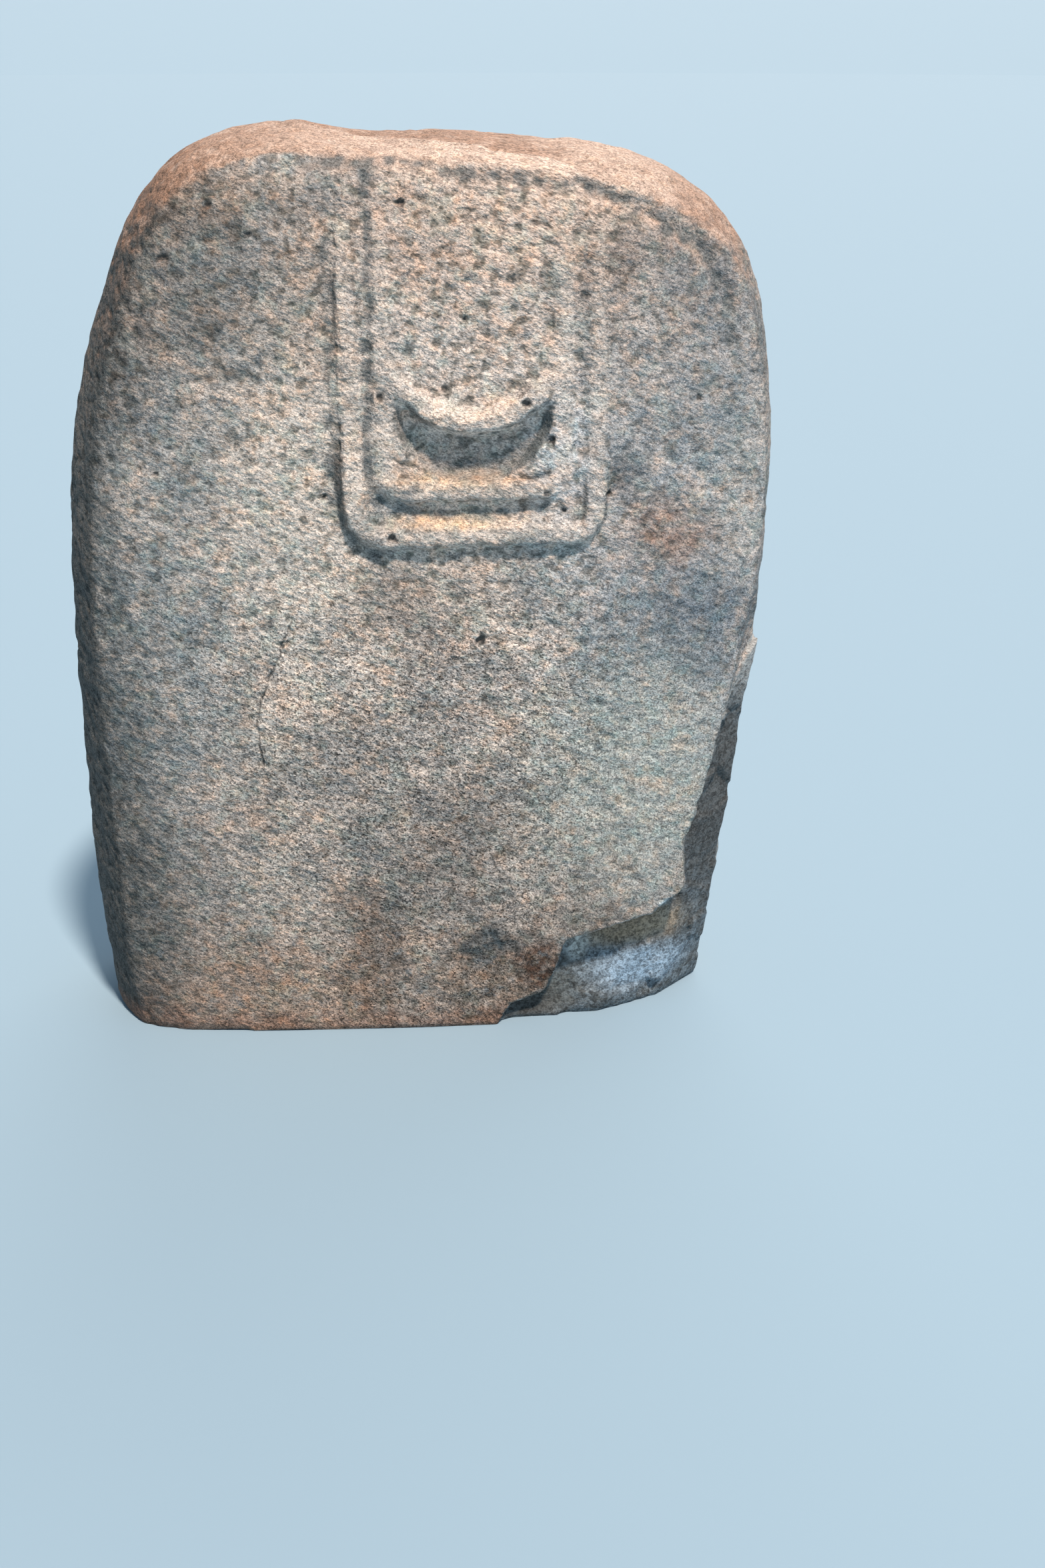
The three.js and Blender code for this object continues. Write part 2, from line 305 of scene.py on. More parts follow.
def refined(mesh):
    """Finer quads on the front and the head's ledge, finer still along cracks, pits and the broken edge."""
    work = bmesh.new()
    work.from_mesh(mesh)
    for _ in range(LEDGE_ROUNDS):
        centres = face_centres(work)
        near_ledge = np.abs(line_distance(centres, HEAD_LEDGE, PLAN_VIEW)) < FINE_REACH["ledge"]
        refine(work, near_ledge & (centres[:, 2] > HEAD_FROM))
    refine(work, face_normals(work)[:, 1] < FRONT_FACING)
    for round_of in ("all", "cracks"):
        centres = face_centres(work)
        front = face_normals(work)[:, 1] < FRONT_FACING
        near = crack_distance(centres) < FINE_REACH["crack"]
        if round_of == "all":
            near |= pit_distance(centres) < FINE_REACH["pit"]
            near |= np.abs(line_distance(centres, BROKEN_EDGE)) < FINE_REACH["edge"]
        refine(work, near & front)
    bmesh.ops.triangulate(work, faces=[face for face in work.faces if len(face.verts) > 4])
    work.to_mesh(mesh)
    work.free()
    return mesh


def vertex_places(mesh):
    places = np.empty(len(mesh.vertices) * 3)
    mesh.vertices.foreach_get("co", places)
    return places.reshape(-1, 3)


def set_vertex_places(mesh, places):
    mesh.vertices.foreach_set("co", places.ravel())
    mesh.update()


def vertex_normals(mesh):
    normals = np.empty(len(mesh.vertices) * 3)
    mesh.vertex_normals.foreach_get("vector", normals)
    return normals.reshape(-1, 3)


def mesh_edges(mesh):
    edges = np.empty(len(mesh.edges) * 2, np.int32)
    mesh.edges.foreach_get("vertices", edges)
    return edges.reshape(-1, 2)


def relaxed(places, edges, share, rounds):
    """Moves each vertex towards the mean of its neighbours by its share, several times."""
    degree = np.bincount(edges.ravel(), minlength=len(places))[:, None]
    for _ in range(rounds):
        total = np.zeros_like(places)
        np.add.at(total, edges[:, 0], places[edges[:, 1]])
        np.add.at(total, edges[:, 1], places[edges[:, 0]])
        places = places + share[:, None] * (total / degree - places)
    return places


def sharp_points(solid):
    """Points along the sharp edges of the solid, apart from those of its pits."""
    work = bmesh.new()
    work.from_mesh(solid.data)
    bmesh.ops.remove_doubles(work, verts=work.verts, dist=WELD_GAP)
    found = []
    for edge in work.edges:
        if edge.calc_face_angle(0.0) > math.radians(SHARP_DEG):
            start, end = (vertex.co for vertex in edge.verts)
            steps = max(1, round(edge.calc_length() / SHARP_STEP))
            found += [start.lerp(end, i / steps) for i in range(steps + 1)]
    work.free()
    found = np.array(found)
    return found[pit_distance(found) > FINE_REACH["pit"]]


def sharpness_kept(places):
    """Share of sharpness that edges keep: less on rims, columns and the left shoulder than on the carving."""
    x, z = places[:, FRONT_VIEW].T / MM
    aside = np.abs(x - STOLE_X)
    on_right = x > STOLE_X
    columns = fade(aside, *COLUMN_SPAN["inner"]) * fade(aside, *COLUMN_SPAN["outer"])
    columns *= np.where(on_right, fade(z, *COLUMN_FOOT["right"]), fade(z, *COLUMN_FOOT["left"]))
    rim = np.maximum(fade(np.abs(x), *RIM_FROM["side"]), fade(z, *RIM_FROM["top"]))
    shoulder = fade(x, *SHOULDER_FROM["side"]) * fade(z, *SHOULDER_FROM["height"])
    kept = SHARP_KEPT["carving"] + (SHARP_KEPT["rim"] - SHARP_KEPT["carving"]) * rim
    kept += (np.where(on_right, SHARP_KEPT["right_column"], SHARP_KEPT["left_column"]) - kept) * columns
    return kept + (SHARP_KEPT["left_shoulder"] - kept) * shoulder


def near_sharp(places, solid):
    """How firmly a place keeps the solid's sharp edges, down to 0 well away from them."""
    points = sharp_points(solid)
    lookup = KDTree(len(points))
    for index, point in enumerate(points):
        lookup.insert(Vector(point), index)
    lookup.balance()
    gaps = np.array([lookup.find(Vector(p))[2] for p in places])
    return fade(gaps, *SHARP_REACH) * sharpness_kept(places)


def settled(places, solid):
    """Drops points onto the solid, with edges that wander a little as worn ones do."""
    bed = BVHTree.FromPolygons(
        [vertex.co for vertex in solid.vertices], [polygon.vertices for polygon in solid.polygons]
    )
    still = np.zeros(len(places))
    wander = np.stack([uneven(places, WANDER_SIDEWAYS), still, uneven(places, WANDER_UPWARD)], axis=1)
    wander *= fade(places[:, 2], 0, FOOT_FLAT)[:, None]
    found = [bed.find_nearest(Vector(p))[0] for p in places + wander]
    return np.array(found) - wander


def hollow_shape(places):
    """Where the hollow under the collar lies, and how far inside its bowl a place is, up to 1."""
    x, z = places[:, FRONT_VIEW].T / MM
    inside = fade(np.abs(x - STOLE_X), *HOLLOW_RIM["side"]) * fade(z, *HOLLOW_RIM["foot"])
    inside *= fade(np.hypot(x - STOLE_X, z - COLLAR_Z), *HOLLOW_RIM["collar"]) * fade(z, *HOLLOW_RIM["top"])
    middle_x, middle_z = HOLLOW_BOWL["middle"]
    wide = (x - middle_x) / HOLLOW_BOWL["half_width"]
    high = (z - middle_z) / HOLLOW_BOWL["depth"]
    return inside, 1 - wide * wide - np.where(high < 0, high * high, 0)


def filled_hollow(places):
    """Fills the hollow outside its bowl, and the right end of the gap between the bands, up to the face."""
    inside, bowl = hollow_shape(places)
    x, z = places[:, FRONT_VIEW].T / MM
    gap_end = fade(x, *GAP_END["left"]) * fade(x, *GAP_END["right"])
    gap_end *= fade(z, *GAP_END["foot"]) * fade(z, *GAP_END["top"])
    share = np.maximum(inside * fade(bowl, *BOWL_FILL), GAP_FILL * gap_end)
    level = (FACE_LEVEL["at_stole"] + FACE_LEVEL["slope"] * (x - STOLE_X)) * MM
    filled = places.copy()
    filled[:, 1] -= np.maximum(places[:, 1] - level, 0) * share * (places[:, 1] < 0)
    return filled


def worn_copy(solid):
    """A fine copy of the solid with worn edges, its vertices' places, and which of them are on the ground."""
    mesh = refined(even_mesh(solid))
    edges = mesh_edges(mesh)
    places = settled(vertex_places(mesh), solid.data)
    grounded = places[:, 2] < GROUND_GAP
    sharp = near_sharp(places, solid)
    places = relaxed(places, edges, np.full(len(places), RELAX_SHARE), RELAX_ALL)
    places = relaxed(places, edges, RELAX_SHARE * (1 - sharp), RELAX_PLAIN)
    places[grounded, 2] = 0
    places = filled_hollow(places)
    set_vertex_places(mesh, places)
    return mesh, places, grounded


def slanted(places):
    """Turns and stretches places so that noise on them runs in slanting dashes."""
    x, y, z = places.T
    along = x * math.cos(PECK_SLANT) + z * math.sin(PECK_SLANT)
    across = z * math.cos(PECK_SLANT) - x * math.sin(PECK_SLANT)
    return np.stack([along / PECK_STRETCH, y, across], axis=1)


def skin_relief(places, normals, broken):
    """Height of the skin above the solid, and how deep in a dent each place lies."""
    rougher = 1 + (BACK_ROUGHER - 1) * fade(normals[:, 1], *BACK_SPAN)
    dashes = slanted(places)
    peck_length, peck_depth, peck_seed = PECKS
    dents = fade(waves(dashes / peck_length, peck_seed), *DENT_SPAN)
    skin = rougher * (uneven(places, SWELLS) + uneven(places, LUMPS))
    skin += uneven(dashes, RIPPLES) - dents * peck_depth
    chips = facets(places, BREAK_FACETS) + uneven(places, BREAK_GRAIN)
    return skin * (1 - broken) + chips * broken, dents * (1 - broken)


def crack_cut(places):
    """How deep the cracks go: thin wandering lines that close here and there."""
    depth = np.zeros(len(places))
    open_share = fade(uneven(places, CRACK_CLOSING), *CRACK_OPEN)
    share = (1 + uneven(places, CRACK_UNEVEN)) * (CRACK_CLOSED_DEPTH + (1 - CRACK_CLOSED_DEPTH) * open_share)
    wander = uneven(places, CRACK_BENDS) + uneven(places, CRACK_JITTER)
    for line, deep in CRACKS.values():
        distance = line_distance(places, line) + wander
        depth = np.maximum(depth, deep * MM * share * np.exp(-((distance / CRACK_WIDTH) ** 2)))
    return depth


def pit_cut(places):
    """How deep the pits go: small holes with ragged rims."""
    depth = np.zeros(len(places))
    rim = 1 + uneven(places, PIT_RAGGED)
    for x, z, radius, deep in PITS:
        share = point_distance(places, x, z) / (radius * MM)
        depth = np.maximum(depth, deep * MM * fade(share * rim, *PIT_WALL))
    return depth


def groove_cut(places):
    """How deep the worn grooves go, and how much grime and painted shade they hold."""
    depth = np.zeros(len(places))
    grime_and_shade = np.zeros(len(places))
    worn = GROOVE_MEAN + uneven(places, GROOVE_UNEVEN)
    mottled = np.clip(GROOVE_MEAN + uneven(places, GROOVE_MOTTLE), 0, GROOVE_DARKEST)
    wander = uneven(places, GROOVE_WANDER)
    for line, deep, half_width, grime_and_shade_share in WORN_GROOVES.values():
        distance = line_distance(places, line) + wander
        share = np.exp(-((distance / (half_width * MM)) ** 2)) * worn
        depth = np.maximum(depth, deep * MM * share)
        grime_and_shade = np.maximum(grime_and_shade, grime_and_shade_share * share * mottled)
    return depth, grime_and_shade


def hollow_shade_and_grime(places):
    """Painted shade with some grime on the floor of the hollow's bowl and on the slope round it, most on the
    right, where the collar's shadow falls.
    """
    inside, bowl = hollow_shape(places)
    x, z = places[:, FRONT_VIEW].T / MM
    floor = HOLLOW_SHADE_AND_GRIME["floor"] * fade(z, *SHADE_AND_GRIME_HEIGHT["floor"])
    floor += HOLLOW_SHADE_AND_GRIME["lowest"] * fade(z, *SHADE_AND_GRIME_HEIGHT["lowest"])
    floor *= fade(bowl, *SHADE_AND_GRIME_BOWL["floor"])
    slope = HOLLOW_SHADE_AND_GRIME["slope"] + HOLLOW_SHADE_AND_GRIME["slope_right"] * fade(x, *SHADE_AND_GRIME_RIGHT)
    slope *= fade(bowl, *SHADE_AND_GRIME_BOWL["slope_outer"]) * fade(bowl, *SHADE_AND_GRIME_BOWL["slope_inner"])
    slope *= fade(z, *SHADE_AND_GRIME_HEIGHT["slope"])
    return np.maximum(floor, slope) * inside * (places[:, 1] < 0)


def worn_ridges(places):
    """1 on the tops of the collar and the bands, which are worn smoother and lighter than the face."""
    x, z = places[:, FRONT_VIEW].T / MM
    aside = np.abs(x - STOLE_X)
    ring = np.abs(np.hypot(aside, z - COLLAR_Z) - COLLAR_RIDGE)
    worn = fade(ring, *RIDGE_WEAR["across"]) * fade(z, *RIDGE_WEAR["collar"])
    for side, foot in BAND_RIDGES.values():
        leg = np.where(z > foot, np.abs(aside - side), np.inf)
        bar = np.where(aside < side, np.abs(z - foot), np.inf)
        band = fade(np.minimum(leg, bar), *RIDGE_WEAR["across"]) * fade(z, *RIDGE_WEAR["bands"])
        worn = np.maximum(worn, band)
    return worn


def head_step(places):
    """How far the top of the head steps down behind its front ledge."""
    x, _, z = places.T / MM
    behind = fade(line_distance(places, HEAD_LEDGE, PLAN_VIEW) / MM, *HEAD_STEP["across"])
    span = fade(x, *HEAD_STEP["left"]) * fade(x, *HEAD_STEP["right"]) * fade(z, *HEAD_STEP["height"])
    return HEAD_DROP * behind * span


def chipped_foot(places):
    """Slices the left corner of the foot off along its sloping cut."""
    start, end = np.array(FOOT_CHIP) * MM
    along = (end - start) / np.linalg.norm(end - start)
    outward = np.array((-along[1], along[0]))
    beyond = np.maximum((places[:, FRONT_VIEW] - start) @ outward, 0)
    sliced = places.copy()
    sliced[:, FRONT_VIEW] -= beyond[:, None] * outward
    return sliced


def store(mesh, name, values):
    mesh.attributes.new(name, "FLOAT", "POINT").data.foreach_set("value", values.astype(np.float32))


def stone_mesh(solid):
    """The stone's skin: a worn copy of the solid that is pecked, cracked, grooved and broken."""
    mesh, places, grounded = worn_copy(solid)
    normals = vertex_normals(mesh)
    edge_gap = line_distance(places, BROKEN_EDGE)
    facing = fade(normals[:, 1], *BREAK_FACING)
    broken = fade(edge_gap, -BREAK_SOFTNESS, BREAK_SOFTNESS) * facing
    height, dents = skin_relief(places, normals, broken)
    height -= head_step(places)
    on_front = fade(normals[:, 1], *FRONT_SPAN) * (1 - broken)
    cut = np.maximum(crack_cut(places), pit_cut(places)) * on_front
    # Grime and painted shade in the grooves, and painted shade with some grime in the hollow under the collar
    groove, groove_grime_and_shade = groove_cut(places)
    grime_and_shade = np.maximum(groove_grime_and_shade * on_front, hollow_shade_and_grime(places))
    places = places + normals * (height * fade(places[:, 2], 0, FOOT_FLAT))[:, None]
    places[:, 1] += cut + groove * on_front
    places[grounded, 2] = 0
    places[:, 2] = np.maximum(places[:, 2], 0)
    set_vertex_places(mesh, chipped_foot(places))
    store(mesh, "dent", dents)
    store(mesh, "worn", worn_ridges(places) * on_front)
    store(mesh, "cut", np.clip(cut / DARKEST_CUT, 0, 1))
    store(mesh, "grime_and_shade", grime_and_shade * (1 - broken))
    store(mesh, "ledge", line_distance(places, HEAD_LEDGE, PLAN_VIEW))
    store(mesh, "edge_gap", np.where(facing > BREAK_SHARE, edge_gap, -1.0))
    store(mesh, "broken", broken)
    return mesh


class Desk:
    """Adds nodes to one shader tree. An input takes a plain value or another node's output."""

    def __init__(self, tree):
        self.tree = tree

    def put(self, kind, inputs, output=0, **settings):
        node = self.tree.nodes.new(kind)
        for name, value in settings.items():
            setattr(node, name, value)
        self.feed(node, inputs)
        return node.outputs[output]

    def feed(self, node, inputs):
        for name, value in inputs.items():
            if isinstance(value, bpy.types.NodeSocket):
                self.tree.links.new(value, node.inputs[name])
            else:
                node.inputs[name].default_value = value

    def math(self, operation, first, second=0.0):
        return self.put("ShaderNodeMath", {0: first, 1: second}, operation=operation)

    def product(self, first, *others):
        for other in others:
            first = self.math("MULTIPLY", first, other)
        return first

    def vector(self, operation, first, second=(0.0, 0.0, 0.0), output=0):
        return self.put("ShaderNodeVectorMath", {0: first, 1: second}, output, operation=operation)

    def split(self, vector):
        """The three numbers of a vector."""
        node = self.tree.nodes.new("ShaderNodeSeparateXYZ")
        self.feed(node, {0: vector})
        return tuple(node.outputs)

    def slanted(self, place, angle):
        """A place turned about the axis that runs from front to back."""
        return self.put("ShaderNodeVectorRotate", {"Vector": place, "Angle": angle}, rotation_type="Y_AXIS")

    def fade(self, value, low, high, start=0.0, end=1.0):
        inputs = {"Value": value, "From Min": low, "From Max": high, "To Min": start, "To Max": end}
        return self.put("ShaderNodeMapRange", inputs, interpolation_type="SMOOTHSTEP")

    def mix(self, share, first, second, blend="MIX"):
        """Mixes two colours, by the numbers that the mix node's colour sockets have."""
        inputs = {0: share, 6: colour(first), 7: colour(second)}
        return self.put("ShaderNodeMix", inputs, 2, data_type="RGBA", blend_type=blend)

    def tinted(self, base, measure, tint, blend="MIX"):
        """Lays a tint, given as colour, span and strength, where a measure runs through its span."""
        shade, span, strength = tint
        return self.mix(self.fade(measure, *span, 0.0, strength), base, shade, blend)

    def noise(self, place, scale, detail=3.0, roughness=0.55, distortion=0.0, output="Fac"):
        inputs = {
            "Vector": place, "Scale": scale, "Detail": detail, "Roughness": roughness, "Distortion": distortion,
        }
        return self.put("ShaderNodeTexNoise", inputs, output)

    def ragged(self, measure, noise_value, reach):
        """A measure whose level lines wander by up to half a reach."""
        return self.math("ADD", measure, self.product(self.math("SUBTRACT", noise_value, NOISE_MEAN), reach))

    def attribute(self, name):
        return self.put("ShaderNodeAttribute", {}, "Fac", attribute_name=name)

    def object_place(self):
        return self.put("ShaderNodeTexCoord", {}, "Object")

    def place_group(self, group, inputs):
        """Places a shared group in the tree and returns its outputs by name."""
        node = self.tree.nodes.new("ShaderNodeGroup")
        node.node_tree = GROUPS[group]
        self.feed(node, inputs)
        return node.outputs


def colour(value):
    """A plain colour gets its fourth number; an output stays as it is."""
    return value if isinstance(value, bpy.types.NodeSocket) else (*value, 1.0)


# Values inside the shared groups: crystals against their size, spans of the peck marks, and a stain's edge
GROUP_NOISES = {
    "crystals": {"detail": 1.5, "roughness": 0.6}, "patches": {"roughness": 0.65}, "pecks": {"roughness": 0.52},
}
GRAIN = {"cell_scale": 0.6, "cell_share": 0.35, "patch_scale": 0.3, "tone_span": (0.28, 0.72)}
CELL_MIX = (0.6, 0.4, 0.0)
MICA_LIMIT = {"most": 0.86, "drop": 0.3, "softness": 0.07}
PECK_SPAN = {"dent": (0.45, 0.34), "ridge": (0.5, 0.66)}
STAIN_SPAN = (1.0, 0.25)

# Kinds of sockets
FLOAT = "NodeSocketFloat"
VECTOR = "NodeSocketVector"


def new_group(name, inputs, outputs):
    """An empty node group with named inputs, given as (kind, usual value), and named outputs."""
    tree = bpy.data.node_groups.new(name, "ShaderNodeTree")
    for title, (kind, usual) in inputs.items():
        socket = tree.interface.new_socket(title, in_out="INPUT", socket_type=kind)
        if usual is not None:
            socket.default_value = usual
    for title in outputs:
        tree.interface.new_socket(title, in_out="OUTPUT", socket_type=FLOAT)
    entry = tree.nodes.new("NodeGroupInput")
    leave = tree.nodes.new("NodeGroupOutput")
    return Desk(tree), entry.outputs, leave


def mineral_grain_group():
    """Crystals of the granite: a light-to-dark tone, dark mica specks and a fine height."""
    desk, entry, leave = new_group(
        "mineral_grain",
        {"Place": (VECTOR, None), "Crystal": (FLOAT, 0.0015), "Mica": (FLOAT, 0.5)},
        ("Tone", "Speck", "Height"),
    )
    scale = desk.math("DIVIDE", 1.0, entry["Crystal"])
    fine = desk.noise(entry["Place"], scale, **GROUP_NOISES["crystals"])
    cell_scale = desk.product(scale, GRAIN["cell_scale"])
    cells = desk.put("ShaderNodeTexVoronoi", {"Vector": entry["Place"], "Scale": cell_scale}, "Color")
    cell_tone = desk.vector("DOT_PRODUCT", cells, CELL_MIX, "Value")
    share = GRAIN["cell_share"]
    tone = desk.math("ADD", desk.product(fine, 1 - share), desk.product(cell_tone, share))
    patch_scale = desk.product(scale, GRAIN["patch_scale"])
    patches = desk.noise(entry["Place"], patch_scale, **GROUP_NOISES["patches"])
    limit = desk.math("SUBTRACT", MICA_LIMIT["most"], desk.product(entry["Mica"], MICA_LIMIT["drop"]))
    speck = desk.fade(patches, limit, desk.math("ADD", limit, MICA_LIMIT["softness"]))
    desk.feed(leave, {"Tone": desk.fade(tone, *GRAIN["tone_span"]), "Speck": speck, "Height": fine})
    return desk.tree


def peck_marks_group():
    """Slanting dents left by dressing the face with a hammer stone, and the ridges between them."""
    desk, entry, leave = new_group(
        "peck_marks",
        {"Place": (VECTOR, None), "Length": (FLOAT, 0.008), "Slant": (FLOAT, 0.0)},
        ("Height", "Dent", "Ridge"),
    )
    turned = desk.slanted(entry["Place"], entry["Slant"])
    dashes = desk.vector("MULTIPLY", turned, (1 / PECK_STRETCH, 1.0, 1.0))
    relief = desk.noise(dashes, desk.math("DIVIDE", 1.0, entry["Length"]), **GROUP_NOISES["pecks"])
    dent = desk.fade(relief, *PECK_SPAN["dent"])
    ridge = desk.fade(relief, *PECK_SPAN["ridge"])
    desk.feed(leave, {"Height": relief, "Dent": dent, "Ridge": ridge})
    return desk.tree


def stain_patch_group():
    """A ragged stain round a centre, 1 in its middle and 0 beyond its reach."""
    desk, entry, leave = new_group(
        "stain_patch",
        {"Place": (VECTOR, None), "Swirl": (VECTOR, None), "Patchy": (FLOAT, 1.0), "Centre": (VECTOR, None),
         "Reach": (VECTOR, (0.1, 0.1, 0.1)), "Ragged": (FLOAT, 0.05)},
        ("Mask",),
    )
    drift = desk.put("ShaderNodeVectorMath", {0: entry["Swirl"], "Scale": entry["Ragged"]}, operation="SCALE")
    place = desk.vector("ADD", entry["Place"], drift)
    reach = desk.vector("DIVIDE", desk.vector("SUBTRACT", place, entry["Centre"]), entry["Reach"])
    body = desk.fade(desk.vector("LENGTH", reach, output="Value"), *STAIN_SPAN)
    desk.feed(leave, {"Mask": desk.product(body, entry["Patchy"])})
    return desk.tree


GROUPS = {
    "grain": mineral_grain_group(),
    "pecks": peck_marks_group(),
    "stain": stain_patch_group(),
}

# Stains: y of the stone they lie on and their reach in depth
FACE_MIDDLE = (-0.15, 0.14)
BACK_MIDDLE = (0.15, 0.13)
BREAK_MIDDLE = (-0.07, 0.25)

# Stains of the skin, the back and the break, with a few patches of painted shade and light among them: colour,
# strength, centre [x, z], reach [x, z] and raggedness
SKIN_STAINS_AND_PAINTED_LIGHT = {
    "cream_middle": ((0.69, 0.62, 0.545), 0.70, (-0.145, 0.730), (0.16, 0.32), 0.16),
    "cool_left": ((0.28, 0.315, 0.325), 0.68, (-0.350, 0.570), (0.15, 0.40), 0.10),
    "cream_stole": ((0.68, 0.60, 0.54), 0.80, (0.085, 0.985), (0.20, 0.27), 0.14),
    "warm_brow": ((0.58, 0.43, 0.34), 0.65, (0.120, 1.100), (0.36, 0.17), 0.10),
    "warm_shoulder": ((0.22, 0.20, 0.19), 0.85, (0.380, 1.060), (0.13, 0.14), 0.06),
    "brown_right_brow": ((0.24, 0.20, 0.175), 0.50, (0.270, 1.080), (0.13, 0.06), 0.08),
    "brown_right_column": ((0.24, 0.195, 0.17), 0.50, (0.240, 1.010), (0.06, 0.13), 0.08),
    "brown_left_column": ((0.27, 0.225, 0.19), 0.45, (-0.125, 1.020), (0.05, 0.16), 0.06),
    # Ochre on the top edges of both bands, partly ochre tint and partly painted highlight of the lit edges
    "ochre_highlight_inner_band": ((0.72, 0.48, 0.29), 0.60, (0.050, 0.790), (0.13, 0.018), 0.02),
    "ochre_highlight_outer_band": ((0.72, 0.48, 0.29), 0.55, (0.040, 0.736), (0.12, 0.016), 0.02),
    "pale_right_columns": ((0.60, 0.63, 0.66), 0.60, (0.185, 0.820), (0.06, 0.11), 0.05),
    # Pale patch below the bands' right end: painted light that thins the band's shadow there
    "painted_light_under_right": ((0.60, 0.58, 0.55), 0.55, (0.185, 0.685), (0.06, 0.06), 0.05),
    "cool_right": ((0.305, 0.362, 0.41), 0.65, (0.350, 0.600), (0.26, 0.62), 0.14),
    "iron_by_bands": ((0.25, 0.16, 0.12), 0.72, (0.325, 0.712), (0.09, 0.08), 0.10),
    "soot_by_bands": ((0.09, 0.10, 0.11), 0.60, (0.272, 0.790), (0.035, 0.05), 0.08),
    "slate_right": ((0.12, 0.15, 0.18), 0.72, (0.365, 0.575), (0.18, 0.14), 0.12),
    "slate_far_right": ((0.20, 0.22, 0.24), 0.35, (0.390, 0.930), (0.14, 0.20), 0.12),
    "lichen_right": ((0.42, 0.45, 0.40), 0.20, (0.410, 0.760), (0.06, 0.18), 0.08),
    "lichen_low_right": ((0.42, 0.46, 0.42), 0.65, (0.290, 0.380), (0.22, 0.26), 0.12),
    "brown_middle": ((0.16, 0.13, 0.11), 0.35, (0.030, 0.250), (0.09, 0.20), 0.12),
    "brown_foot": ((0.12, 0.09, 0.07), 0.75, (-0.080, 0.120), (0.08, 0.18), 0.12),
    "brown_foot_right": ((0.11, 0.076, 0.052), 0.75, (0.095, 0.065), (0.15, 0.12), 0.12),
    "rust_by_break": ((0.07, 0.04, 0.028), 1.0, (0.160, 0.098), (0.06, 0.06), 0.06),
    "dark_above_break": ((0.16, 0.14, 0.12), 0.55, (0.215, 0.165), (0.09, 0.05), 0.06),
    "bruise_foot": ((0.05, 0.065, 0.072), 1.0, (0.088, 0.131), (0.066, 0.036), 0.05),
    "chip_by_break": ((0.62, 0.74, 0.78), 0.90, (0.338, 0.176), (0.018, 0.014), 0.01),
    "slate_under_bands": ((0.14, 0.17, 0.19), 0.30, (0.030, 0.520), (0.10, 0.14), 0.16),
    "brown_under_bands": ((0.24, 0.19, 0.155), 0.55, (-0.020, 0.630), (0.12, 0.07), 0.10),
    "brown_head_left": ((0.34, 0.24, 0.19), 0.70, (-0.310, 1.150), (0.12, 0.08), 0.06),
    "foot_dust": ((0.34, 0.215, 0.14), 0.55, (-0.240, 0.050), (0.27, 0.15), 0.10),
    "pale_low_left": ((0.55, 0.50, 0.44), 0.45, (-0.200, 0.230), (0.09, 0.10), 0.10),
    "pale_left_middle": ((0.60, 0.55, 0.48), 0.45, (-0.200, 0.440), (0.08, 0.08), 0.10),
    "slate_shoulder": ((0.185, 0.165, 0.145), 0.52, (-0.255, 1.010), (0.15, 0.14), 0.12),
    "brown_upper_left": ((0.15, 0.125, 0.105), 0.85, (-0.260, 1.122), (0.16, 0.07), 0.06),
    "brown_left_shoulder": ((0.125, 0.105, 0.092), 0.85, (-0.395, 1.030), (0.16, 0.25), 0.08),
    # Dark slate on the left flank and its foot, partly painted shade of the unlit side
    "slate_and_shade_left": ((0.088, 0.107, 0.114), 0.92, (-0.450, 0.480), (0.17, 0.62), 0.08),
    "slate_and_shade_left_foot": ((0.085, 0.095, 0.095), 0.85, (-0.430, 0.190), (0.14, 0.28), 0.08),
    "dark_foot_left": ((0.085, 0.08, 0.075), 0.80, (-0.420, 0.030), (0.12, 0.10), 0.06),
}
BACK_STAINS = {
    "pale_back": ((0.60, 0.55, 0.48), 0.60, (0.060, 0.760), (0.26, 0.30), 0.16),
    "pale_back_low": ((0.52, 0.47, 0.40), 0.45, (-0.220, 0.330), (0.20, 0.22), 0.14),
    "lichen_back": ((0.40, 0.42, 0.34), 0.60, (0.270, 0.560), (0.16, 0.20), 0.14),
    "lichen_back_left": ((0.38, 0.41, 0.35), 0.55, (-0.300, 0.860), (0.14, 0.18), 0.12),
    "rust_back": ((0.30, 0.19, 0.13), 0.55, (-0.080, 0.480), (0.10, 0.12), 0.12),
    "damp_back": ((0.15, 0.14, 0.125), 0.65, (0.080, 0.120), (0.40, 0.14), 0.14),
}
BREAK_STAINS_AND_PAINTED_LIGHT = {
    "olive_top": ((0.27, 0.215, 0.15), 0.95, (0.290, 0.128), (0.13, 0.045), 0.03),
    "blue_pool": ((0.265, 0.36, 0.45), 0.95, (0.305, 0.060), (0.105, 0.05), 0.03),
    "dark_left": ((0.085, 0.095, 0.092), 1.0, (0.160, 0.035), (0.08, 0.06), 0.03),
    # Pale facet at the break's left: pale grey rock with painted light on a small facet that faces the light
    "painted_light_facet": ((0.40, 0.43, 0.42), 0.95, (0.214, 0.106), (0.026, 0.036), 0.012),
    "dark_foot": ((0.045, 0.048, 0.047), 1.0, (0.150, 0.015), (0.07, 0.03), 0.03),
    "grey_side": ((0.068, 0.071, 0.07), 1.0, (0.425, 0.300), (0.12, 0.26), 0.05),
    "pale_strip": ((0.36, 0.35, 0.33), 0.90, (0.445, 0.530), (0.06, 0.10), 0.03),
    "pale_chip": ((0.55, 0.66, 0.70), 0.90, (0.338, 0.166), (0.016, 0.016), 0.01),
}

# Patchiness of stains: span of its noise, and share of a stain that is left where it is thinnest
STAIN_PATCHY = (0.30, 0.62)
THINNEST = {"skin": 0.45, "break": 0.85}

